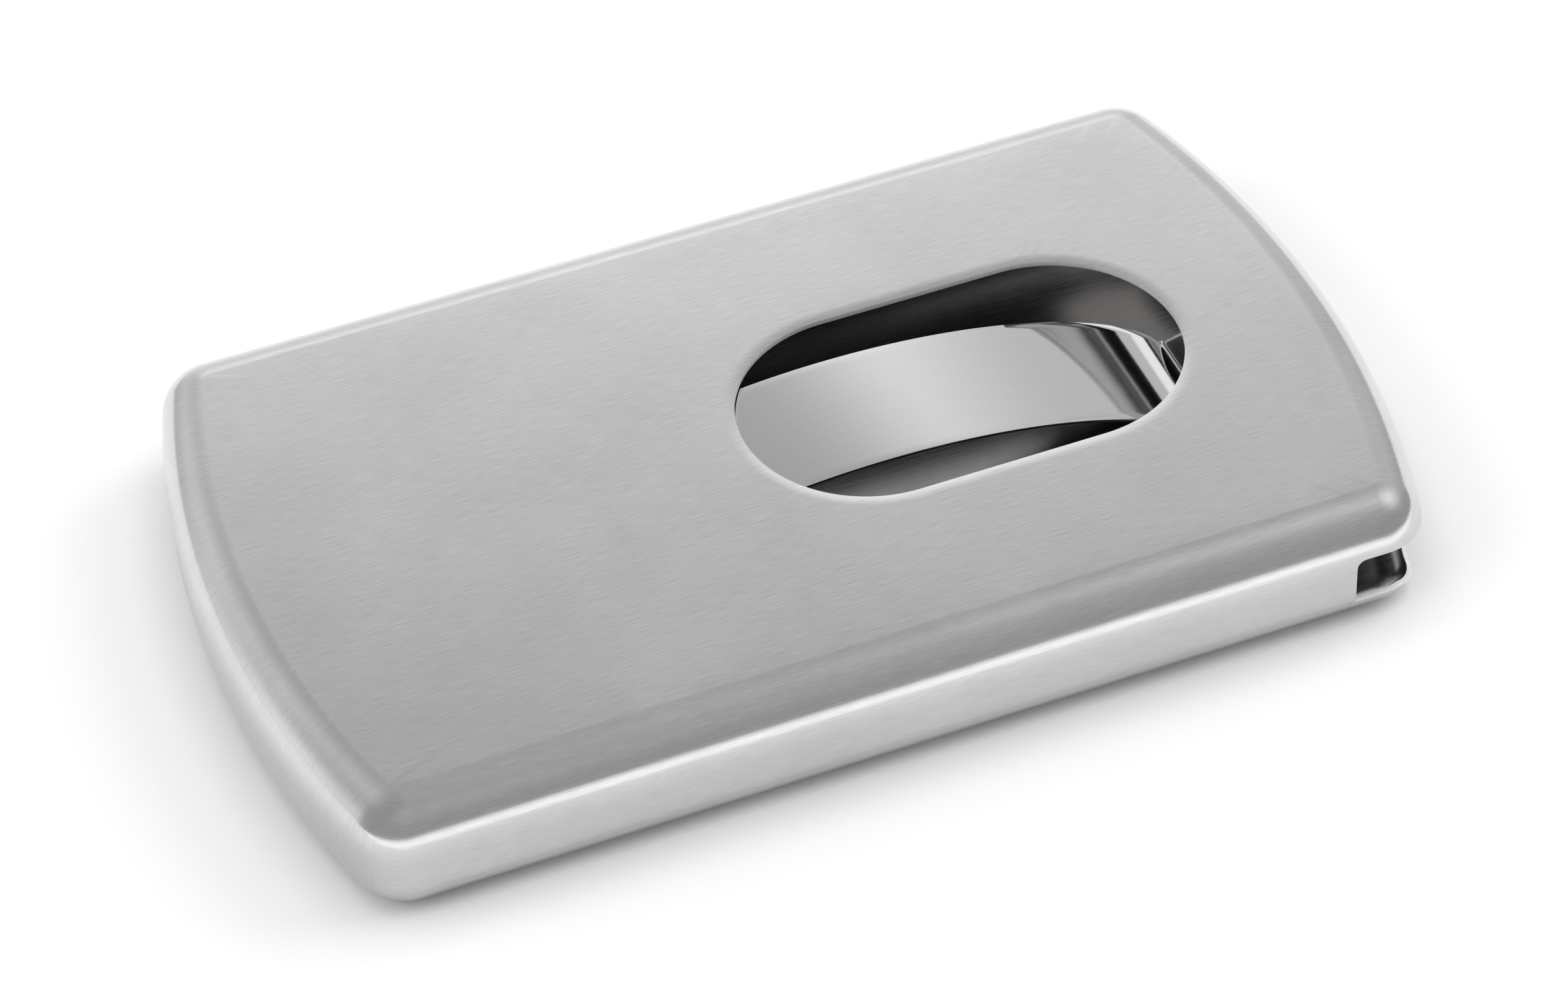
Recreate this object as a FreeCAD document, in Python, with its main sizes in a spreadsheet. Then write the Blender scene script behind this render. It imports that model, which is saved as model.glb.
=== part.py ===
"""Pocket card case of sheet steel: a deep-drawn cover and a shallow tray that make one flat box, and an
arched leaf spring inside that presses the cards up against the cover. The origin is under the middle of the
box, +X points to the open end where the cards slide out, and +Z is up."""

import FreeCAD, Part
import math
import os

import Sketcher

V = FreeCAD.Vector

doc = FreeCAD.newDocument("card_case")

# ------------------------------------------------------------ driving dimensions, in millimetres

SIZES = {
    # box
    "case_width": 60.0,
    "side_reach": 45.6,  # from the middle to where a side would meet the curved end
    "end_radius": 91.4,
    "plan_corner": 4.7,
    "case_height": 11.4,
    "top_rounding": 4.05,
    "bottom_rounding": 3.5,
    "sheet": 0.5,
    # seam between cover and tray, and the lap inside it
    "seam_height": 2.65,
    "lap_start": 1.85,
    "lap_inset": 0.65,
    "lap_top": 5.15,
    # open end
    "mouth_start": 39.3,
    "mouth_top": 7.35,
    "mouth_corner": 0.8,
    "lip_height": 1.45,
    "lip_dip_start": 43.6,
    "lip_dip_end": 46.8,
    # thumb slot in the cover
    "slot_centre": 16.5,
    "slot_half_straight": 8.35,
    "slot_radius": 11.37,
    # leaf spring
    "leaf_width": 13.5,
    "leaf_sheet": 0.3,
    "arch_centre": 6.6,
    "arch_half_span": 34.0,
    "arch_rise": 14.5,
    "crest_height": 11.08,
    "foot_end": -39.0,
    "tip_bend": 38.3,
    "tip_length": 4.3,
    "tip_angle": 12.0,
}

sheet = doc.addObject("Spreadsheet::Sheet", "Sizes")
for row, (alias, value) in enumerate(SIZES.items(), start=1):
    sheet.set(f"A{row}", alias)
    sheet.set(f"B{row}", str(value))
    sheet.setAlias(f"B{row}", alias)
doc.recompute()


def size(alias):
    return float(sheet.get(alias))


# ------------------------------------------------------------ helpers

def origin_plane(body, role):
    return next(f for f in body.Origin.OriginFeatures if f.Role == role)


def new_body(name):
    body = doc.addObject("PartDesign::Body", name)
    body.Label = name
    return body


def new_sketch(body, name, role, lift=None):
    """An empty sketch on one of the body's own planes, lifted along the plane's normal by an expression."""
    sketch = body.newObject("Sketcher::SketchObject", name)
    sketch.AttachmentSupport = [(origin_plane(body, role), "")]
    sketch.MapMode = "FlatFace"
    if lift:
        sketch.setExpression("AttachmentOffset.Base.z", lift)
    return sketch


def bind(sketch, kind, *args):
    """Adds a constraint held by an expression on the sheet, which comes after its starting value."""
    *places, value, expression = args
    index = sketch.addConstraint(Sketcher.Constraint(kind, *places, value))
    sketch.setExpression(f"Constraints[{index}]", expression)


def closed_polygon(sketch, corners):
    """Straight lines from corner to corner and back to the first, joined end to end."""
    lines = []
    for here, there in zip(corners, corners[1:] + corners[:1]):
        lines.append(sketch.addGeometry(Part.LineSegment(V(*here, 0), V(*there, 0))))
    for first, second in zip(lines, lines[1:] + lines[:1]):
        sketch.addConstraint(Sketcher.Constraint("Coincident", first, 2, second, 1))
    return lines


def box_outline(sketch, inset):
    """The plan of the box, pulled in by an expression: straight sides, curved ends and round corners."""
    gap = float(sheet.evalExpression(inset))
    half_width = size("case_width") / 2 - gap
    end = size("end_radius") - gap
    corner = size("plan_corner") - gap
    # centre of the right end's arc and of the right corners
    arc_x = size("side_reach") - math.sqrt(size("end_radius") ** 2 - (size("case_width") / 2) ** 2)
    corner_y = half_width - corner
    corner_x = arc_x + math.sqrt((end - corner) ** 2 - corner_y**2)
    lean = math.atan2(corner_y, corner_x - arc_x)

    def arc(x, y, radius, start, stop):
        circle = Part.Circle(V(x, y, 0), V(0, 0, 1), radius)
        return sketch.addGeometry(Part.ArcOfCircle(circle, start, stop))

    def side(x_from, x_to, y):
        return sketch.addGeometry(Part.LineSegment(V(x_from, y, 0), V(x_to, y, 0)))

    half_turn = math.pi
    quarter = math.pi / 2
    right = arc(arc_x, 0, end, -lean, lean)
    corner_a = arc(corner_x, corner_y, corner, lean, quarter)
    back = side(corner_x, -corner_x, half_width)
    corner_b = arc(-corner_x, corner_y, corner, quarter, half_turn - lean)
    left = arc(-arc_x, 0, end, half_turn - lean, half_turn + lean)
    corner_c = arc(-corner_x, -corner_y, corner, half_turn + lean, 3 * quarter)
    front = side(-corner_x, corner_x, -half_width)
    corner_d = arc(corner_x, -corner_y, corner, 3 * quarter, 2 * half_turn - lean)

    loop = [right, corner_a, back, corner_b, left, corner_c, front, corner_d]
    for first, second in zip(loop, loop[1:] + loop[:1]):
        sketch.addConstraint(Sketcher.Constraint("Tangent", first, 2, second, 1))
    for line in (back, front):
        sketch.addConstraint(Sketcher.Constraint("Horizontal", line))
    sketch.addConstraint(Sketcher.Constraint("Symmetric", back, 1, front, 1, -1, 1))
    sketch.addConstraint(Sketcher.Constraint("PointOnObject", right, 3, -1))
    sketch.addConstraint(Sketcher.Constraint("Symmetric", right, 3, left, 3, -1, 1))
    for other in (corner_b, corner_c, corner_d):
        sketch.addConstraint(Sketcher.Constraint("Equal", corner_a, other))
    bind(sketch, "Radius", corner_a, corner, f"Sizes.plan_corner - ({inset})")
    bind(sketch, "Radius", right, end, f"Sizes.end_radius - ({inset})")
    bind(sketch, "DistanceY", front, 1, back, 2, 2 * half_width, f"Sizes.case_width - 2 * ({inset})")
    reach = "sqrt(Sizes.end_radius ^ 2 - (Sizes.case_width / 2) ^ 2) - Sizes.side_reach"
    bind(sketch, "DistanceX", right, 3, -1, 1, -arc_x, reach)


def pad(body, name, sketch, length):
    feature = body.newObject("PartDesign::Pad", name)
    feature.Profile = sketch
    feature.setExpression("Length", length)
    doc.recompute()
    return feature


def pocket_both_ways(body, name, sketch, length):
    feature = body.newObject("PartDesign::Pocket", name)
    feature.Profile = sketch
    feature.SideType = "Symmetric"
    feature.setExpression("Length", length)
    doc.recompute()
    return feature


def flat_face(feature, height):
    """The name of the level face of a feature at a height."""
    for number, face in enumerate(feature.Shape.Faces, start=1):
        spread = face.BoundBox
        if spread.ZLength < 1e-6 and abs(spread.ZMin - height) < 1e-6:
            return f"Face{number}"
    raise RuntimeError(f"{feature.Name} has no level face at {height}")


def round_rim(body, name, base, height, radius):
    """Rounds the edge of the level face at a height."""
    fillet = body.newObject("PartDesign::Fillet", name)
    fillet.Base = (base, [flat_face(base, height)])
    fillet.setExpression("Radius", radius)
    doc.recompute()
    return fillet


def hollow_out(body, name, base, open_height):
    """Turns the solid into a shell one sheet thick, open at the level face at a height."""
    shell = body.newObject("PartDesign::Thickness", name)
    shell.Base = (base, [flat_face(base, open_height)])
    shell.Mode = "Skin"
    shell.Join = "Arc"
    shell.Reversed = True
    shell.setExpression("Value", "Sizes.sheet")
    doc.recompute()
    return shell


# ------------------------------------------------------------ top cover

def slot_outline(sketch):
    """The thumb slot: two half circles joined by straight sides."""
    centre = size("slot_centre")
    reach = size("slot_half_straight")
    radius = size("slot_radius")
    quarter = math.pi / 2
    near, far = centre - reach, centre + reach
    left_circle = Part.Circle(V(near, 0, 0), V(0, 0, 1), radius)
    right_circle = Part.Circle(V(far, 0, 0), V(0, 0, 1), radius)
    left = sketch.addGeometry(Part.ArcOfCircle(left_circle, quarter, 3 * quarter))
    front = sketch.addGeometry(Part.LineSegment(V(near, -radius, 0), V(far, -radius, 0)))
    right = sketch.addGeometry(Part.ArcOfCircle(right_circle, -quarter, quarter))
    back = sketch.addGeometry(Part.LineSegment(V(far, radius, 0), V(near, radius, 0)))
    for first, second in ((left, front), (front, right), (right, back), (back, left)):
        sketch.addConstraint(Sketcher.Constraint("Tangent", first, 2, second, 1))
    sketch.addConstraint(Sketcher.Constraint("Equal", left, right))
    sketch.addConstraint(Sketcher.Constraint("PointOnObject", left, 3, -1))
    sketch.addConstraint(Sketcher.Constraint("Horizontal", front))
    bind(sketch, "Radius", left, radius, "Sizes.slot_radius")
    bind(sketch, "DistanceX", left, 3, right, 3, 2 * reach, "2 * Sizes.slot_half_straight")
    bind(sketch, "DistanceX", -1, 1, left, 3, near, "Sizes.slot_centre - Sizes.slot_half_straight")


def mouth_profile(sketch):
    """Side view of the open end's cut: a rectangle past the end of the box, with one rounded corner."""
    start = size("mouth_start")
    top = size("mouth_top")
    corner = size("mouth_corner")
    beyond = size("case_width")
    corner_circle = Part.Circle(V(start + corner, top - corner, 0), V(0, 0, 1), corner)
    upright = sketch.addGeometry(Part.LineSegment(V(start, 0, 0), V(start, top - corner, 0)))
    bend = sketch.addGeometry(Part.ArcOfCircle(corner_circle, math.pi / 2, math.pi))
    head = sketch.addGeometry(Part.LineSegment(V(start + corner, top, 0), V(beyond, top, 0)))
    outer = sketch.addGeometry(Part.LineSegment(V(beyond, top, 0), V(beyond, 0, 0)))
    foot = sketch.addGeometry(Part.LineSegment(V(beyond, 0, 0), V(start, 0, 0)))
    for first, first_end, second, second_end in ((upright, 2, bend, 2), (bend, 1, head, 1)):
        sketch.addConstraint(Sketcher.Constraint("Tangent", first, first_end, second, second_end))
    for first, second in ((head, outer), (outer, foot), (foot, upright)):
        sketch.addConstraint(Sketcher.Constraint("Coincident", first, 2, second, 1))
    for line in (upright, outer):
        sketch.addConstraint(Sketcher.Constraint("Vertical", line))
    for line in (head, foot):
        sketch.addConstraint(Sketcher.Constraint("Horizontal", line))
    sketch.addConstraint(Sketcher.Constraint("PointOnObject", foot, 2, -1))
    bind(sketch, "Radius", bend, corner, "Sizes.mouth_corner")
    bind(sketch, "DistanceX", -1, 1, upright, 1, start, "Sizes.mouth_start")
    bind(sketch, "DistanceY", -1, 1, head, 1, top, "Sizes.mouth_top")
    bind(sketch, "DistanceX", -1, 1, outer, 1, beyond, "Sizes.case_width")


def seam_profile(sketch):
    """Side view of what the cover leaves to the tray: everything below the seam."""
    seam = size("seam_height")
    beyond = size("case_width")
    corners = [(-beyond, -seam), (beyond, -seam), (beyond, seam), (-beyond, seam)]
    foot, right, head, left = closed_polygon(sketch, corners)
    for line in (foot, head):
        sketch.addConstraint(Sketcher.Constraint("Horizontal", line))
    for line in (right, left):
        sketch.addConstraint(Sketcher.Constraint("Vertical", line))
    sketch.addConstraint(Sketcher.Constraint("Symmetric", foot, 1, head, 1, -1, 1))
    bind(sketch, "DistanceY", -1, 1, head, 1, seam, "Sizes.seam_height")
    bind(sketch, "DistanceX", -1, 1, head, 1, beyond, "Sizes.case_width")


def make_cover():
    """The cover: top plate, rounded rim and skirt, with the thumb slot and the open end."""
    body = new_body("top_cover")
    plan = new_sketch(body, "cover_plan", "XY_Plane")
    box_outline(plan, "0")
    block = pad(body, "cover_block", plan, "Sizes.case_height")
    crowned = round_rim(body, "cover_top_rounding", block, size("case_height"), "Sizes.top_rounding")
    rounded = round_rim(body, "cover_foot_rounding", crowned, 0, "Sizes.bottom_rounding")
    hollow_out(body, "cover_shell", rounded, 0)
    below = new_sketch(body, "seam_side", "XZ_Plane")
    seam_profile(below)
    pocket_both_ways(body, "seam_trim", below, "2 * Sizes.case_width")
    slot = new_sketch(body, "slot_plan", "XY_Plane", "Sizes.case_height")
    slot_outline(slot)
    slot_cut = body.newObject("PartDesign::Pocket", "thumb_slot")
    slot_cut.Profile = slot
    slot_cut.setExpression("Length", "2 * Sizes.sheet")
    doc.recompute()
    mouth = new_sketch(body, "mouth_side", "XZ_Plane")
    mouth_profile(mouth)
    pocket_both_ways(body, "open_end", mouth, "2 * Sizes.case_width")
    return body


# ------------------------------------------------------------ bottom tray

def rim_profile(sketch):
    """Side view of what is trimmed off the pan: all above the seam, down to the low lip at the open end."""
    seam = size("seam_height")
    lip = size("lip_height")
    top = 2 * size("case_height")
    beyond = size("case_width")
    dip_start = size("lip_dip_start")
    dip_end = size("lip_dip_end")
    corners = [(-beyond, seam), (dip_start, seam), (dip_end, lip), (beyond, lip)]
    corners += [(beyond, top), (-beyond, top)]
    seam_line, dip, lip_line, outer, head, inner = closed_polygon(sketch, corners)
    for line in (seam_line, lip_line, head):
        sketch.addConstraint(Sketcher.Constraint("Horizontal", line))
    for line in (outer, inner):
        sketch.addConstraint(Sketcher.Constraint("Vertical", line))
    bind(sketch, "DistanceY", -1, 1, seam_line, 2, seam, "Sizes.seam_height")
    bind(sketch, "DistanceY", -1, 1, lip_line, 1, lip, "Sizes.lip_height")
    bind(sketch, "DistanceY", -1, 1, head, 1, top, "2 * Sizes.case_height")
    bind(sketch, "DistanceX", -1, 1, dip, 1, dip_start, "Sizes.lip_dip_start")
    bind(sketch, "DistanceX", -1, 1, dip, 2, dip_end, "Sizes.lip_dip_end")
    bind(sketch, "DistanceX", -1, 1, outer, 1, beyond, "Sizes.case_width")
    bind(sketch, "DistanceX", seam_line, 1, -1, 1, beyond, "Sizes.case_width")


def make_pan():
    """The pan: floor, bottom rounding and the low wall up to the seam."""
    body = new_body("tray_pan")
    plan = new_sketch(body, "pan_plan", "XY_Plane")
    box_outline(plan, "0")
    block = pad(body, "pan_block", plan, "Sizes.mouth_top")
    rounded = round_rim(body, "pan_rounding", block, 0, "Sizes.bottom_rounding")
    hollow_out(body, "pan_shell", rounded, size("mouth_top"))
    rim = new_sketch(body, "rim_side", "XZ_Plane")
    rim_profile(rim)
    pocket_both_ways(body, "rim_trim", rim, "2 * Sizes.case_width")
    return body


def make_lap():
    """The lap: a flange set in by a little more than a sheet, standing up inside the cover's skirt."""
    body = new_body("tray_lap")
    plan = new_sketch(body, "lap_plan", "XY_Plane", "Sizes.lap_start")
    box_outline(plan, "Sizes.lap_inset")
    box_outline(plan, "Sizes.lap_inset + Sizes.sheet")
    pad(body, "lap_ring", plan, "Sizes.lap_top - Sizes.lap_start")
    return body


def make_tray():
    """The tray: the pan and its lap as one pressing, with the lap left off at the open end."""
    tray = doc.addObject("Part::Fuse", "bottom_tray")
    tray.Label = "bottom_tray"
    gap = doc.addObject("Part::Box", "lap_gap")
    gap.setExpression("Length", "Sizes.case_width")
    gap.setExpression("Width", "2 * Sizes.case_width")
    gap.setExpression("Height", "Sizes.case_height")
    gap.setExpression("Placement.Base.x", "Sizes.mouth_start - Sizes.sheet")
    gap.setExpression("Placement.Base.y", "-Sizes.case_width")
    lap = doc.addObject("Part::Cut", "lap_strip")
    lap.Base = make_lap()
    lap.Tool = gap
    tray.Base = make_pan()
    tray.Tool = lap
    doc.recompute()
    return tray


# ------------------------------------------------------------ leaf spring

def arch_solid(name, thinner):
    """An elliptic cylinder across the box, whose upper part is one face of the leaf's arch."""
    ellipse = doc.addObject("Part::Ellipse", name + "_curve")
    ellipse.setExpression("MajorRadius", f"Sizes.arch_half_span - {thinner}")
    ellipse.setExpression("MinorRadius", f"Sizes.arch_rise - {thinner}")
    ellipse.Placement.Rotation = FreeCAD.Rotation(V(1, 0, 0), 90)
    ellipse.setExpression("Placement.Base.x", "Sizes.arch_centre")
    ellipse.setExpression("Placement.Base.z", "Sizes.crest_height - Sizes.arch_rise")
    solid = doc.addObject("Part::Extrusion", name)
    solid.Base = ellipse
    solid.DirMode = "Custom"
    solid.Dir = V(0, 1, 0)
    solid.Solid = True
    solid.Symmetric = True
    solid.setExpression("LengthFwd", "Sizes.leaf_width")
    return solid


def strip_box(name, length, height, x, z, tilt=None):
    """A box as wide as the leaf, centred across the case."""
    box = doc.addObject("Part::Box", name)
    if tilt:
        box.Placement.Rotation = FreeCAD.Rotation(V(0, -1, 0), 1)
        box.setExpression("Placement.Rotation.Angle", tilt)
    box.setExpression("Length", length)
    box.setExpression("Width", "Sizes.leaf_width")
    box.setExpression("Height", height)
    box.setExpression("Placement.Base.x", x)
    box.setExpression("Placement.Base.y", "-Sizes.leaf_width / 2")
    box.setExpression("Placement.Base.z", z)
    return box


def make_leaf():
    """The leaf: a flat foot on the floor, an elliptic arch up to the slot and a short turned-up tip."""
    arch = doc.addObject("Part::Cut", "arch_ring")
    arch.Base = arch_solid("arch_top", "0")
    arch.Tool = arch_solid("arch_underside", "Sizes.leaf_sheet")
    foot_top = "(Sizes.sheet + Sizes.leaf_sheet - Sizes.crest_height + Sizes.arch_rise)"
    foot_bend = f"(Sizes.arch_centre - Sizes.arch_half_span * sqrt(1 - ({foot_top} / Sizes.arch_rise) ^ 2))"
    bend_share = "((Sizes.tip_bend - Sizes.arch_centre) / Sizes.arch_half_span)"
    bend_top = f"(Sizes.crest_height - Sizes.arch_rise * (1 - sqrt(1 - {bend_share} ^ 2)))"
    left = "(Sizes.arch_centre - Sizes.arch_half_span)"
    window = strip_box("arch_window", f"Sizes.tip_bend - {left}", "Sizes.case_height", left, "Sizes.sheet")
    curve = doc.addObject("Part::Common", "leaf_arch")
    curve.Base = arch
    curve.Tool = window
    foot_length = f"{foot_bend} + Sizes.leaf_sheet / 3 - Sizes.foot_end"
    foot = strip_box("leaf_foot", foot_length, "Sizes.leaf_sheet", "Sizes.foot_end", "Sizes.sheet")
    tip_start = "Sizes.tip_bend - Sizes.leaf_sheet / 2"
    tip_height = f"{bend_top} - Sizes.leaf_sheet"
    tilt = "Sizes.tip_angle"
    tip = strip_box("leaf_tip", "Sizes.tip_length", "Sizes.leaf_sheet", tip_start, tip_height, tilt)
    leaf = doc.addObject("Part::MultiFuse", "leaf_spring")
    leaf.Label = "leaf_spring"
    leaf.Shapes = [curve, foot, tip]
    doc.recompute()
    return leaf


# ------------------------------------------------------------ build, test and write

parts = [make_cover(), make_tray(), make_leaf()]
doc.recompute()

for item in doc.Objects:
    if "Invalid" in item.State or "Error" in item.State:
        raise RuntimeError(f"{item.Label} failed: {item.State}")

os.makedirs("parts", exist_ok=True)
for item in parts:
    shape = item.Shape
    if shape.isNull() or not shape.isValid() or len(shape.Solids) != 1:
        raise RuntimeError(f"{item.Label} is not one sound solid")
    shape.exportStep(f"parts/{item.Label}.step")
    spread = shape.BoundBox
    low = (round(spread.XMin, 2), round(spread.YMin, 2), round(spread.ZMin, 2))
    high = (round(spread.XMax, 2), round(spread.YMax, 2), round(spread.ZMax, 2))
    print(f"{item.Label}: {shape.Volume:.1f} mm3, {len(shape.Faces)} faces, from {low} to {high}")
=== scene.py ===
"""Business card case of brushed steel, with a thumb slot and a polished leaf spring inside."""

import math

import bmesh
import bpy
from mathutils import Matrix, Vector


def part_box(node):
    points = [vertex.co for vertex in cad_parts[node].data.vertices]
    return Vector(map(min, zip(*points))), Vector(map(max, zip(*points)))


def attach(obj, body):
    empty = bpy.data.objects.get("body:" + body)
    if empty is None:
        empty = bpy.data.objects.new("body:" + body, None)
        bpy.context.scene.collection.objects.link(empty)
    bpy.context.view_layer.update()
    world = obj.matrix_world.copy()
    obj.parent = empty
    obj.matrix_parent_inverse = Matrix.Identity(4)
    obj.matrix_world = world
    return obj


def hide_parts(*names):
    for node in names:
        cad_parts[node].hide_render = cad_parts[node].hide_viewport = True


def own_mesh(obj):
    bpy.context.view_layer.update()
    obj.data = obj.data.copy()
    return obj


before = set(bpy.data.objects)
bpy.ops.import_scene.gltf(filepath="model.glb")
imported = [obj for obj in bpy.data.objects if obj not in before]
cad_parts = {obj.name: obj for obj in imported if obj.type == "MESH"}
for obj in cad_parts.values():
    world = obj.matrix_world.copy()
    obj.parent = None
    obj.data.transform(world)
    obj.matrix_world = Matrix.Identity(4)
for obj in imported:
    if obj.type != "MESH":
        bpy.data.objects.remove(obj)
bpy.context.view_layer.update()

# ---------------------------------------------------------------- sizes, in metres

MM = 0.001
MERGE = 0.002 * MM  # points nearer than this are one point

cover_low, cover_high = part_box("top_cover")
_, tray_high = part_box("bottom_tray")
leaf_low, leaf_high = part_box("leaf_spring")

HALF_WIDTH = cover_high.y
HALF_LENGTH = cover_high.x
TOP = cover_high.z
SEAM = cover_low.z
LAP_TOP = tray_high.z
CREST = leaf_high.z
LEAF_HALF = leaf_high.y
FOOT_END = leaf_low.x
TIP_END = leaf_high.x

SHEET = 0.5 * MM
END_RADIUS = 91.4 * MM
PLAN_CORNER = 4.7 * MM
TOP_ROUND = 4.05 * MM
FOOT_ROUND = 3.5 * MM
LAP_INSET = 0.65 * MM
LAP_BEND = 0.12 * MM  # radius of the bend where the lap stands up from the pan
SEAM_GAP = 0.01 * MM  # how far the pan's own edge stays below the cover's

MOUTH_START = 39.3 * MM
MOUTH_TOP = 7.35 * MM
MOUTH_CORNER = 0.8 * MM
LIP_HEIGHT = 1.45 * MM
LIP_DIP_START = 43.6 * MM
LIP_DIP_END = 46.8 * MM
LAP_STOP = MOUTH_START - 0.5 * MM

SLOT_CENTRE = 16.5 * MM
SLOT_REACH = 8.35 * MM
SLOT_RADIUS = 11.37 * MM
ROLL_WIDTH = 1.1 * MM  # how far the stamped edge of the slot pulls the plate down
ROLL_DEPTH = 0.05 * MM

LEAF_SHEET = 0.3 * MM
ARCH_CENTRE = 6.6 * MM
ARCH_HALF_SPAN = 34.0 * MM
ARCH_RISE = 14.5 * MM
TIP_BEND = 38.3 * MM
TIP_ANGLE = math.radians(12.0)
FOOT_BEND_REACH = 1.2 * MM  # how far the bend into the arch reaches along the foot
TIP_BEND_REACH = 0.45 * MM  # and how far the bend out of it reaches along the tip
FOOT_BEND_TURN = 0.07  # the same two bends along the arch, in radians
TIP_BEND_TURN = 0.02
FOOT_CORNER = 2.5 * MM
TIP_CORNER = 1.6 * MM

COVER_EDGE_ROUND = 0.09 * MM
TRAY_EDGE_ROUND = 0.06 * MM
LEAF_EDGE_ROUND = 0.05 * MM

# ---------------------------------------------------------------- steps along the curves

SIDE_STEPS = 80
END_STEPS = 80
CORNER_STEPS = 18
TOP_ROUND_STEPS = 18
FOOT_ROUND_STEPS = 16
MOUTH_STEPS = 8
ARCH_STEPS = 120
LEAF_BEND_STEPS = 8
LEAF_ACROSS_STEPS = 16

# ---------------------------------------------------------------- plan of the box

ARC_X = HALF_LENGTH - END_RADIUS
CORNER_Y = HALF_WIDTH - PLAN_CORNER
INNER_RADIUS = END_RADIUS - PLAN_CORNER
CORNER_X = ARC_X + math.sqrt(INNER_RADIUS**2 - CORNER_Y**2)
LEAN = math.atan2(CORNER_Y, CORNER_X - ARC_X)


class Station:
    """One place on the plan: a point on the line of corner centres and the way out from it."""

    def __init__(self, x, y, angle, along):
        self.x = x
        self.y = y
        self.out = Vector((math.cos(angle), math.sin(angle)))
        self.along = along

    def at(self, inset, z):
        reach = PLAN_CORNER - inset
        return Vector((self.x + self.out.x * reach, self.y + self.out.y * reach, z))

    def brushing(self, laps, down, at_end):
        """UV of a place on the walls: brushed along the sides, and over the rim at the ends."""
        along = self.along + laps * PERIMETER
        if at_end:
            return self.x + math.copysign(down, self.out.x), along
        return along, -down


def spread(low, high, count):
    return [low + (high - low) * i / count for i in range(count + 1)]


def side_places():
    """Places along a straight side, from the closed end, with a place at each line of the mouth."""
    turns = spread(0, math.pi / 2, MOUTH_STEPS)[1:]
    fillet = [MOUTH_START + MOUTH_CORNER * (1 - math.cos(turn)) for turn in turns]
    beside_lap = spread(-CORNER_X, LAP_STOP, SIDE_STEPS)
    past_fillet = spread(fillet[-1], CORNER_X, 3)[1:]
    return beside_lap + [MOUTH_START] + fillet + past_fillet


def plan_stations():
    """The whole plan, once round anticlockwise from the middle of the open end."""
    spots = []
    quarter = math.pi / 2
    half_turn = math.pi

    def arc(centre_x, centre_y, radius, start, stop, count):
        for angle in spread(start, stop, count)[:-1]:
            x = centre_x + radius * math.cos(angle)
            y = centre_y + radius * math.sin(angle)
            spots.append((x, y, angle))

    places = side_places()
    arc(ARC_X, 0, INNER_RADIUS, 0, LEAN, END_STEPS // 2)
    arc(CORNER_X, CORNER_Y, 0, LEAN, quarter, CORNER_STEPS)
    spots.extend((x, CORNER_Y, quarter) for x in reversed(places[1:]))
    arc(-CORNER_X, CORNER_Y, 0, quarter, half_turn - LEAN, CORNER_STEPS)
    arc(-ARC_X, 0, INNER_RADIUS, half_turn - LEAN, half_turn + LEAN, END_STEPS)
    arc(-CORNER_X, -CORNER_Y, 0, half_turn + LEAN, 3 * quarter, CORNER_STEPS)
    spots.extend((x, -CORNER_Y, 3 * quarter) for x in places[:-1])
    arc(CORNER_X, -CORNER_Y, 0, 3 * quarter, 2 * half_turn - LEAN, CORNER_STEPS)
    arc(ARC_X, 0, INNER_RADIUS, -LEAN, 0, END_STEPS // 2)

    stations = []
    along = 0.0
    last = None
    for x, y, angle in spots:
        edge = Vector((x + PLAN_CORNER * math.cos(angle), y + PLAN_CORNER * math.sin(angle)))
        if last is not None:
            along += (edge - last).length
        last = edge
        stations.append(Station(x, y, angle, along))
    return stations


STATIONS = plan_stations()
PERIMETER = STATIONS[-1].along + (STATIONS[0].at(0, 0) - STATIONS[-1].at(0, 0)).length


def foot_inset(z):
    """How far the bottom rounding pulls the outer face in at a height."""
    if z >= FOOT_ROUND:
        return 0.0
    return FOOT_ROUND - math.sqrt(FOOT_ROUND**2 - (FOOT_ROUND - z) ** 2)


# ---------------------------------------------------------------- mesh helpers

def to_object(mesh, name):
    """Turns a finished bmesh into an object in the scene."""
    data = bpy.data.meshes.new(name)
    mesh.to_mesh(data)
    mesh.free()
    piece = bpy.data.objects.new(name, data)
    bpy.context.scene.collection.objects.link(piece)
    return piece


class Skin:
    """A sheet made of rows of points round the plan, with a UV that follows the brushing."""

    def __init__(self):
        self.mesh = bmesh.new()
        self.uv = self.mesh.loops.layers.uv.new("brushing")
        self.rows = []

    def add_row(self, places, down=None):
        """places: a point or None for each station; down: how far down the wall, None if level."""
        downs = down if isinstance(down, list) else [down] * len(places)
        self.rows.append([
            None if place is None else (self.mesh.verts.new(place), reach)
            for place, reach in zip(places, downs)
        ])

    def stitch(self, first, last):
        """Joins each row with the next, from the first to the last, with quads that face out.

        The last quad of a row closes the ring, so its far side is a whole lap further along.
        """
        for upper, lower in zip(self.rows[first:last], self.rows[first + 1:last + 1]):
            for i, station in enumerate(STATIONS):
                j = (i + 1) % len(STATIONS)
                ring = (upper[i], lower[i], lower[j], upper[j])
                if None in ring:
                    continue
                face = self.mesh.faces.new([vert for vert, _ in ring])
                at_end = abs(station.out.x) > abs(station.out.y)
                for loop, (vert, down), k in zip(face.loops, ring, (i, i, j, j)):
                    laps = 1 if k == j == 0 else 0
                    if down is None:
                        loop[self.uv].uv = vert.co.xy
                    else:
                        loop[self.uv].uv = STATIONS[k].brushing(laps, down, at_end)

    def finish(self, name):
        bmesh.ops.remove_doubles(self.mesh, verts=self.mesh.verts, dist=MERGE)
        bmesh.ops.dissolve_degenerate(self.mesh, edges=self.mesh.edges, dist=MERGE)
        for face in self.mesh.faces:
            face.smooth = True
        return to_object(self.mesh, name)


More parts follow.
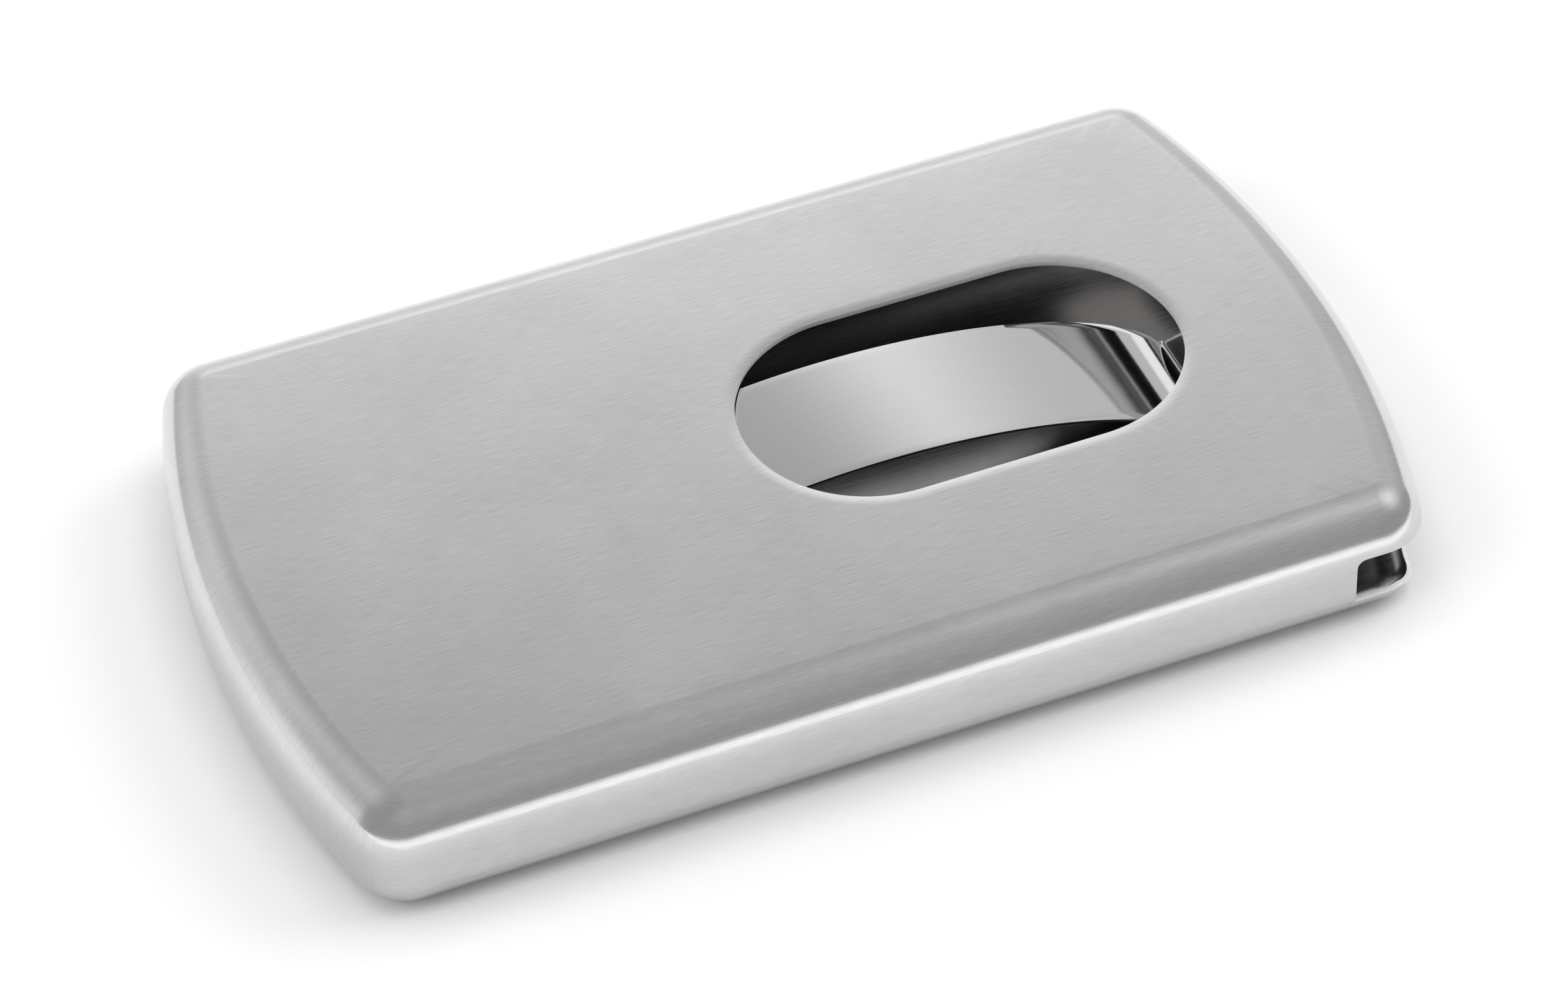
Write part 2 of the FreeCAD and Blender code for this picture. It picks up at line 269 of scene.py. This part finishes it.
def thicken(piece, thickness, edge_round, segments):
    """Gives a sheet its thickness, inwards, and rounds its cut edges."""
    solid = piece.modifiers.new("sheet", "SOLIDIFY")
    solid.thickness = thickness
    solid.offset = -1
    solid.use_even_offset = True
    solid.material_offset = 1
    solid.material_offset_rim = 2
    edges = piece.modifiers.new("edges", "BEVEL")
    edges.width = edge_round
    edges.segments = segments
    edges.limit_method = "ANGLE"
    edges.angle_limit = math.radians(50)
    piece.modifiers.new("normals", "WEIGHTED_NORMAL")


def apply_modifiers(piece):
    graph = bpy.context.evaluated_depsgraph_get()
    data = bpy.data.meshes.new_from_object(piece.evaluated_get(graph))
    piece.modifiers.clear()
    piece.data = data


# ---------------------------------------------------------------- top cover

def slot_edge(station_point, offset):
    """Where the line from the slot's centre to a point meets its outline, grown by an offset."""
    radius = SLOT_RADIUS + offset
    way = Vector((station_point.x - SLOT_CENTRE, station_point.y))
    way.normalize()
    if way.y != 0:
        flat = radius / abs(way.y)
        if abs(way.x) * flat <= SLOT_REACH:
            return Vector((SLOT_CENTRE + way.x * flat, way.y * flat))
    centre = math.copysign(SLOT_REACH, way.x)
    reach = way.x * centre + math.sqrt((way.x * centre) ** 2 - SLOT_REACH**2 + radius**2)
    return Vector((SLOT_CENTRE + way.x * reach, way.y * reach))


def mouth_edge(x):
    """Height of the open end's upper edge above a place in the side wall."""
    if x <= MOUTH_START:
        return MOUTH_TOP - MOUTH_CORNER
    across = max(MOUTH_START + MOUTH_CORNER - x, 0.0)
    return MOUTH_TOP - MOUTH_CORNER + math.sqrt(MOUTH_CORNER**2 - across**2)


def make_cover():
    skin = Skin()
    rim = [s.at(TOP_ROUND, TOP) for s in STATIONS]
    roll_offsets = (0.0, 0.1 * MM, 0.22 * MM, 0.4 * MM, 0.65 * MM, ROLL_WIDTH)
    for offset in roll_offsets:
        fall = ROLL_DEPTH * (1 - offset / ROLL_WIDTH) ** 2
        skin.add_row([slot_edge(p, offset).to_3d() + Vector((0, 0, TOP - fall)) for p in rim])
    near_slot = [slot_edge(p, ROLL_WIDTH).to_3d() + Vector((0, 0, TOP)) for p in rim]
    for share in (0.15, 0.35, 0.6, 0.85, 1.0):
        skin.add_row([a.lerp(b, share) for a, b in zip(near_slot, rim)])
    skin.stitch(0, len(skin.rows) - 1)

    first_wall = len(skin.rows)
    for turn in spread(0, math.pi / 2, TOP_ROUND_STEPS):
        inset = TOP_ROUND - TOP_ROUND * math.sin(turn)
        z = TOP - TOP_ROUND + TOP_ROUND * math.cos(turn)
        skin.add_row([s.at(inset, z) for s in STATIONS], TOP_ROUND * turn)
    skin.stitch(first_wall, len(skin.rows) - 1)

    rim_down = TOP_ROUND * math.pi / 2

    def wall_row(heights):
        """heights: the height of the wall at each station, or None where there is no wall."""
        places = [None if z is None else s.at(foot_inset(z), z) for s, z in zip(STATIONS, heights)]
        skin.add_row(places, [rim_down + MOUTH_TOP - (z or 0) for z in heights])

    reach = [s.at(0, 0).x for s in STATIONS]
    first_side = len(skin.rows)
    fillet_end = MOUTH_START + MOUTH_CORNER + MERGE
    for share in spread(0, 1, MOUTH_STEPS):
        fillet = [MOUTH_TOP + (mouth_edge(x) - MOUTH_TOP) * share for x in reach]
        wall_row([z if x <= fillet_end else None for x, z in zip(reach, fillet)])
    below = spread(MOUTH_TOP - MOUTH_CORNER, FOOT_ROUND, 4)[1:] + spread(FOOT_ROUND, SEAM, 4)[1:]
    for z in below:
        wall_row([z if x <= MOUTH_START + MERGE else None for x in reach])
    skin.stitch(first_side, len(skin.rows) - 1)
    return skin.finish("card_case_cover")


# ---------------------------------------------------------------- bottom tray

def lip_at(x):
    """Height of the tray's edge: the seam, dipping to the low lip across the open end."""
    if x <= LIP_DIP_START:
        return SEAM
    if x >= LIP_DIP_END:
        return LIP_HEIGHT
    share = (x - LIP_DIP_START) / (LIP_DIP_END - LIP_DIP_START)
    return SEAM + (LIP_HEIGHT - SEAM) * share


def make_tray():
    skin = Skin()
    shoulder = SEAM - SEAM_GAP
    for share in spread(1, 0, FOOT_ROUND_STEPS):
        places, downs = [], []
        for s in STATIONS:
            edge_turn = math.acos(1 - min(lip_at(s.at(0, 0).x), shoulder) / FOOT_ROUND)
            turn = edge_turn * share
            inset = FOOT_ROUND - FOOT_ROUND * math.sin(turn)
            places.append(s.at(inset, FOOT_ROUND - FOOT_ROUND * math.cos(turn)))
            downs.append(FOOT_ROUND * (math.pi / 2 - turn))
        skin.add_row(places, downs)
    skin.stitch(0, len(skin.rows) - 1)

    first_flat = len(skin.rows)
    for share in (1.0, 0.85, 0.6, 0.3, 0.06):
        skin.add_row([s.at(FOOT_ROUND, 0) * share for s in STATIONS])
    skin.stitch(first_flat, len(skin.rows) - 1)
    middle = skin.mesh.faces.new([vert for vert, _ in reversed(skin.rows[-1])])
    for loop in middle.loops:
        loop[skin.uv].uv = loop.vert.co.xy

    joggle = [(LAP_INSET, z) for z in spread(LAP_TOP, shoulder + LAP_BEND, 4)]
    for turn in spread(math.pi / 2, 0, 3)[1:]:
        inset = LAP_INSET - LAP_BEND + LAP_BEND * math.sin(turn)
        joggle.append((inset, shoulder + LAP_BEND - LAP_BEND * math.cos(turn)))
    joggle.append((foot_inset(shoulder), shoulder))
    has_lap = [s.at(0, 0).x <= LAP_STOP + MERGE for s in STATIONS]
    first_lap = len(skin.rows)
    for inset, z in joggle:
        skin.add_row([s.at(inset, z) if lap else None for s, lap in zip(STATIONS, has_lap)], -z)
    skin.stitch(first_lap, len(skin.rows) - 1)
    return skin.finish("card_case_tray")


# ---------------------------------------------------------------- leaf spring

def soft_corner(before, corner, after, count):
    """Points of a smooth bend from one place to another round a corner."""
    points = []
    for i in range(count + 1):
        t = i / count
        points.append(before * (1 - t) ** 2 + corner * 2 * t * (1 - t) + after * t**2)
    return points


def leaf_path():
    """Top face of the leaf seen from the side, as (x, z) points from its foot to its tip."""
    base = CREST - ARCH_RISE
    foot_z = SHEET + LEAF_SHEET

    def arch(angle):
        x = ARCH_CENTRE - ARCH_HALF_SPAN * math.cos(angle)
        return Vector((x, base + ARCH_RISE * math.sin(angle)))

    foot_angle = math.asin((foot_z - base) / ARCH_RISE)
    tip_angle = math.pi - math.acos((TIP_BEND - ARCH_CENTRE) / ARCH_HALF_SPAN)
    foot_bend = arch(foot_angle)
    tip_bend = arch(tip_angle)
    past_foot = foot_angle + FOOT_BEND_TURN
    before_tip = tip_angle - TIP_BEND_TURN
    tip_way = Vector((math.cos(TIP_ANGLE), math.sin(TIP_ANGLE)))
    tip_length = (TIP_END - TIP_BEND) / math.cos(TIP_ANGLE)

    path = [Vector((x, foot_z)) for x in spread(FOOT_END, foot_bend.x - FOOT_BEND_REACH, 16)]
    path += soft_corner(path[-1], foot_bend, arch(past_foot), LEAF_BEND_STEPS)[1:]
    path += [arch(angle) for angle in spread(past_foot, before_tip, ARCH_STEPS)[1:]]
    tip_start = tip_bend + tip_way * TIP_BEND_REACH
    path += soft_corner(path[-1], tip_bend, tip_start, LEAF_BEND_STEPS)[1:]
    path += [tip_bend + tip_way * reach for reach in spread(TIP_BEND_REACH, tip_length, 14)[1:]]
    return path


def make_leaf():
    path = leaf_path()
    lengths = [0.0]
    for here, there in zip(path, path[1:]):
        lengths.append(lengths[-1] + (there - here).length)
    total = lengths[-1]

    def half_width(s):
        """The strip's half width, less near its rounded ends."""
        for gone, corner in ((s, FOOT_CORNER), (total - s, TIP_CORNER)):
            if gone < corner:
                return LEAF_HALF - corner + math.sqrt(max(corner**2 - (corner - gone) ** 2, 0.0))
        return LEAF_HALF

    mesh = bmesh.new()
    uv = mesh.loops.layers.uv.new("brushing")
    rows = []
    for point, s in zip(path, lengths):
        reach = half_width(s)
        shares = [-reach + 2 * reach * j / LEAF_ACROSS_STEPS for j in range(LEAF_ACROSS_STEPS + 1)]
        rows.append([mesh.verts.new((point.x, y, point.y)) for y in shares])
    for i in range(len(rows) - 1):
        for j in range(LEAF_ACROSS_STEPS):
            face = mesh.faces.new((rows[i][j], rows[i + 1][j], rows[i + 1][j + 1], rows[i][j + 1]))
            face.smooth = True
            ends = (lengths[i], lengths[i + 1], lengths[i + 1], lengths[i])
            for loop, s in zip(face.loops, ends):
                loop[uv].uv = (s, loop.vert.co.y)
    return to_object(mesh, "card_case_leaf")


# ---------------------------------------------------------------- materials

class Nodes:
    """A small helper that adds and links shader nodes."""

    def __init__(self, name):
        self.material = bpy.data.materials.new(name)
        self.material.use_nodes = True
        self.tree = self.material.node_tree
        self.shader = self.tree.nodes["Principled BSDF"]

    def add(self, kind, **settings):
        node = self.tree.nodes.new(kind)
        for key, value in settings.items():
            if key in node.inputs:
                node.inputs[key].default_value = value
            else:
                setattr(node, key, value)
        return node

    def link(self, source, target):
        self.tree.links.new(source, target)

    def brushing(self, length, width, detail):
        """Noise stretched into brush lines along the UV, of a length and width in metres."""
        place = self.add("ShaderNodeUVMap", uv_map="brushing")
        mapping = self.add("ShaderNodeMapping")
        mapping.inputs["Scale"].default_value = (1 / length, 1 / width, 1)
        noise = self.add("ShaderNodeTexNoise", Scale=1.0, Detail=detail, Roughness=0.6)
        self.link(place.outputs["UV"], mapping.inputs["Vector"])
        self.link(mapping.outputs["Vector"], noise.inputs["Vector"])
        return noise.outputs["Fac"]

    def grain(self, size, detail=2.0):
        place = self.add("ShaderNodeTexCoord")
        noise = self.add("ShaderNodeTexNoise", Scale=1 / size, Detail=detail, Roughness=0.55)
        self.link(place.outputs["Object"], noise.inputs["Vector"])
        return noise.outputs["Fac"]

    def ramp(self, source, low, high, start=0.3, stop=0.7):
        """Maps a noise to a grey between two values."""
        spans = self.add("ShaderNodeMapRange")
        spans.inputs["From Min"].default_value = start
        spans.inputs["From Max"].default_value = stop
        spans.inputs["To Min"].default_value = low
        spans.inputs["To Max"].default_value = high
        self.link(source, spans.inputs["Value"])
        return spans.outputs["Result"]

    def blend(self, first, second, how="MULTIPLY"):
        math_node = self.add("ShaderNodeMath", operation=how)
        self.link(first, math_node.inputs[0])
        self.link(second, math_node.inputs[1])
        return math_node.outputs["Value"]

    def tint(self, value, colour):
        """A colour scaled by a grey."""
        mix = self.add("ShaderNodeMix", data_type="RGBA", blend_type="MULTIPLY")
        mix.inputs["Factor"].default_value = 1.0
        mix.inputs["A"].default_value = (*colour, 1)
        self.link(value, mix.inputs["B"])
        self.link(mix.outputs["Result"], self.shader.inputs["Base Color"])

    def bump(self, height, distance):
        bump = self.add("ShaderNodeBump", Strength=1.0, Distance=distance)
        self.link(height, bump.inputs["Height"])
        self.link(bump.outputs["Normal"], self.shader.inputs["Normal"])


def brushed_steel():
    """Fine satin brushing along the UV, with longer scratches, clouding and painted shade on the
    low sides.
    """
    n = Nodes("brushed_steel")
    fine = n.brushing(length=2.2 * MM, width=0.09 * MM, detail=3.0)
    scratches = n.brushing(length=6.0 * MM, width=0.16 * MM, detail=1.0)
    cloud = n.grain(size=13.0 * MM)
    height = n.add("ShaderNodeSeparateXYZ")
    n.link(n.add("ShaderNodeTexCoord").outputs["Object"], height.inputs["Vector"])
    # Painted shade: the base colour is darker low on the sides, from full at 9 mm high down to 0.83
    # at 6 mm and below, standing in for the shadowed floor that the low sides mirror.
    foot = n.ramp(height.outputs["Z"], low=0.83, high=1.0, start=6.0 * MM, stop=9.0 * MM)
    lines = n.ramp(fine, low=0.86, high=1.14, start=0.2, stop=0.8)
    shade = n.blend(lines, n.ramp(cloud, low=0.965, high=1.035))
    n.tint(n.blend(shade, foot), colour=(0.662, 0.660, 0.668))
    scratched = n.ramp(scratches, low=0.15, high=0.18)
    rough = n.blend(scratched, n.ramp(cloud, low=0.96, high=1.04))
    n.link(rough, n.shader.inputs["Roughness"])
    n.bump(n.blend(fine, scratches, how="ADD"), distance=0.0012 * MM)
    n.shader.inputs["Metallic"].default_value = 1.0
    n.shader.inputs["Anisotropic"].default_value = 0.35
    n.shader.inputs["Anisotropic Rotation"].default_value = 0.25
    tangent = n.add("ShaderNodeTangent", direction_type="UV_MAP", uv_map="brushing")
    n.link(tangent.outputs["Tangent"], n.shader.inputs["Tangent"])
    return n.material


def plain_steel():
    """The unbrushed inside of the sheet: duller, with a soft rolled grain."""
    n = Nodes("plain_steel_inside")
    rolled = n.brushing(length=4.0 * MM, width=0.25 * MM, detail=2.0)
    cloud = n.grain(size=5.0 * MM)
    shade = n.blend(n.ramp(rolled, low=0.93, high=1.04), n.ramp(cloud, low=0.94, high=1.04))
    n.tint(shade, colour=(0.46, 0.452, 0.445))
    n.link(n.ramp(rolled, low=0.19, high=0.25), n.shader.inputs["Roughness"])
    n.bump(rolled, distance=0.002 * MM)
    n.shader.inputs["Metallic"].default_value = 1.0
    return n.material


def cut_edge():
    """The stamped edge of the sheet, torn to a fine grain that scatters the light."""
    n = Nodes("stamped_edge")
    specks = n.grain(size=0.10 * MM, detail=3.0)
    shade = n.ramp(specks, low=0.78, high=1.06, start=0.35, stop=0.65)
    n.tint(shade, colour=(0.90, 0.90, 0.89))
    n.shader.inputs["Roughness"].default_value = 0.42
    n.bump(specks, distance=0.008 * MM)
    n.shader.inputs["Metallic"].default_value = 0.25
    return n.material


def polished_steel():
    """Hard rolled spring strip, nearly mirror bright, with hairlines along it."""
    n = Nodes("polished_spring_steel")
    lines = n.brushing(length=20.0 * MM, width=0.3 * MM, detail=2.0)
    n.tint(n.ramp(lines, low=0.985, high=1.01), colour=(0.69, 0.69, 0.692))
    n.link(n.ramp(lines, low=0.055, high=0.085), n.shader.inputs["Roughness"])
    n.shader.inputs["Metallic"].default_value = 1.0
    return n.material


def pale_floor():
    """Matt and nearly even, barely clouded."""
    n = Nodes("pale_floor")
    cloud = n.grain(size=0.4)
    n.tint(n.ramp(cloud, low=0.995, high=1.0), colour=(0.93, 0.93, 0.93))
    n.shader.inputs["Roughness"].default_value = 0.9
    n.shader.inputs["Specular IOR Level"].default_value = 0.1
    return n.material


# ---------------------------------------------------------------- pieces

outside = brushed_steel()
inside = plain_steel()
edge = cut_edge()
spring = polished_steel()

cover = make_cover()
tray = make_tray()
leaf = make_leaf()

for piece in (cover, tray):
    for material in (outside, inside, edge):
        piece.data.materials.append(material)
for _ in range(3):  # outer face, inner face and cut edge
    leaf.data.materials.append(spring)

thicken(cover, SHEET, COVER_EDGE_ROUND, segments=3)
thicken(tray, SHEET, TRAY_EDGE_ROUND, segments=3)
thicken(leaf, LEAF_SHEET, LEAF_EDGE_ROUND, segments=2)
for piece in (cover, tray, leaf):
    apply_modifiers(piece)

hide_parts("top_cover")
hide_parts("bottom_tray")
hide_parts("leaf_spring")
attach(cover, "case")
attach(tray, "case")
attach(leaf, "leaf")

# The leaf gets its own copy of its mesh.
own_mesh(leaf)

# ---------------------------------------------------------------- floor

FLOOR_REACH = 6.0
FLOOR_GAP = 0.02 * MM  # keeps the floor's face clear of the case's underside

floor_mesh = bmesh.new()
bmesh.ops.create_grid(floor_mesh, x_segments=8, y_segments=8, size=FLOOR_REACH)
floor = to_object(floor_mesh, "studio_floor")
floor.location.z = -FLOOR_GAP
floor.data.materials.append(pale_floor())

# ---------------------------------------------------------------- lights

FLOOR_PANEL_SIZE = 1.2


def area_light(name, place, aim, width, height, radiance):
    """A soft panel given by its radiance, so that its size can change on its own."""
    data = bpy.data.lights.new(name, "AREA")
    data.shape = "RECTANGLE"
    data.size = width
    data.size_y = height
    data.energy = radiance * width * height * math.pi
    light = bpy.data.objects.new(name, data)
    light.location = place
    light.rotation_euler = (Vector(aim) - Vector(place)).to_track_quat("-Z", "Y").to_euler()
    light.visible_camera = False
    bpy.context.scene.collection.objects.link(light)
    return light


# A low panel close in front of the case, mirrored by its front rounding as a bright line.
area_light(
    "front_strip",
    place=(0.02, -0.062, 0.002),
    aim=(0.02, -0.061, 1),
    width=1.0,
    height=0.036,
    radiance=0.36,
)

# Panels that light the floor alone, so that it is white without being mirrored in the steel.
for place, radiance in (((-1.3, 0, 0.75), 1.6), ((1.3, 0, 0.75), 1.9), ((0, 0, 1.3), 1.5)):
    panel = area_light(
        "floor_panel",
        place=place,
        aim=(0, 0, 0),
        width=FLOOR_PANEL_SIZE,
        height=FLOOR_PANEL_SIZE,
        radiance=radiance,
    )
    panel.visible_glossy = False

# ---------------------------------------------------------------- room

# The room is an even grey with soft bright lobes, which the steel mirrors.
ROOM_GREY = 0.405
LOBE_POWER = 16  # the higher, the narrower
LOBES = (  # degrees from +Y towards +X, degrees up, strength
    (0, 4, 0.44),
    (30, 4, 0.44),
    (300, 4, 0.61),
    (60, 27, 0.18),
    (330, 27, 0.32),
    (90, 52, 0.70),
    (180, 52, 0.12),
    (315, 52, 0.18),
    (20, 56, 0.08),
)

# A narrower bank of light behind the case ends softly at its top, which shades the cover from
# back to front.
BANK_TURN = 17
BANK_RISE = 34
BANK_POWER = 30
BANK_STRENGTH = 0.76
BANK_FADE_START = math.radians(38)
BANK_FADE_END = math.radians(48)

world = bpy.data.worlds.new("studio")
world.use_nodes = True
room = world.node_tree
direction = room.nodes.new("ShaderNodeTexCoord").outputs["Generated"]


def room_math(operation, *values):
    """Result of a math node of the room, whose inputs are sockets or plain numbers."""
    node = room.nodes.new("ShaderNodeMath")
    node.operation = operation
    for socket, value in zip(node.inputs, values):
        if isinstance(value, bpy.types.NodeSocket):
            room.links.new(value, socket)
        else:
            socket.default_value = value
    return node.outputs["Value"]


def add_lobe(light, turn, rise, power, strength):
    """The light so far, with a soft bright lobe added to it."""
    turn, rise = math.radians(turn), math.radians(rise)
    facing = room.nodes.new("ShaderNodeVectorMath")
    facing.operation = "DOT_PRODUCT"
    facing.inputs[1].default_value = (
        math.sin(turn) * math.cos(rise),
        math.cos(turn) * math.cos(rise),
        math.sin(rise),
    )
    room.links.new(direction, facing.inputs[0])
    front = room_math("MAXIMUM", facing.outputs["Value"], 0.0)
    return room_math("MULTIPLY_ADD", room_math("POWER", front, power), strength, light)


def bank_strength():
    """The bank's strength by how high a ray goes, down to nothing above its soft top."""
    upward = room.nodes.new("ShaderNodeSeparateXYZ")
    room.links.new(direction, upward.inputs["Vector"])
    fade = room.nodes.new("ShaderNodeMapRange")
    fade.interpolation_type = "SMOOTHSTEP"
    fade.inputs["From Min"].default_value = math.sin(BANK_FADE_START)
    fade.inputs["From Max"].default_value = math.sin(BANK_FADE_END)
    fade.inputs["To Min"].default_value = BANK_STRENGTH
    fade.inputs["To Max"].default_value = 0.0
    room.links.new(upward.outputs["Z"], fade.inputs["Value"])
    return fade.outputs["Result"]


room_light = ROOM_GREY
for turn, rise, strength in LOBES:
    room_light = add_lobe(room_light, turn, rise, LOBE_POWER, strength)
room_light = add_lobe(room_light, BANK_TURN, BANK_RISE, BANK_POWER, bank_strength())

room.nodes["Background"].inputs["Color"].default_value = (1, 1, 1, 1)
room.links.new(room_light, room.nodes["Background"].inputs["Strength"])
bpy.context.scene.world = world
bpy.context.scene.view_settings.view_transform = "Standard"

# ---------------------------------------------------------------- camera

AZIMUTH = math.radians(-19.258)
ELEVATION = math.radians(43.832)
ROLL = math.radians(-3.0)
DISTANCE = 0.4185
AIM = Vector((-0.0006, -0.002, 0.00525))
LENS = 113.7  # in millimetres, like the sensor
SENSOR = 36.0
NEAREST = 0.01

camera_data = bpy.data.cameras.new("camera")
camera_data.sensor_width = SENSOR
camera_data.lens = LENS
camera_data.clip_start = NEAREST
camera = bpy.data.objects.new("camera", camera_data)
back = Vector((
    math.sin(AZIMUTH) * math.cos(ELEVATION),
    -math.cos(AZIMUTH) * math.cos(ELEVATION),
    math.sin(ELEVATION),
))
camera.location = AIM + back * DISTANCE
facing_case = back.to_track_quat("Z", "Y").to_matrix()
camera.rotation_euler = (facing_case @ Matrix.Rotation(ROLL, 3, "Z")).to_euler()
bpy.context.scene.collection.objects.link(camera)
bpy.context.scene.camera = camera
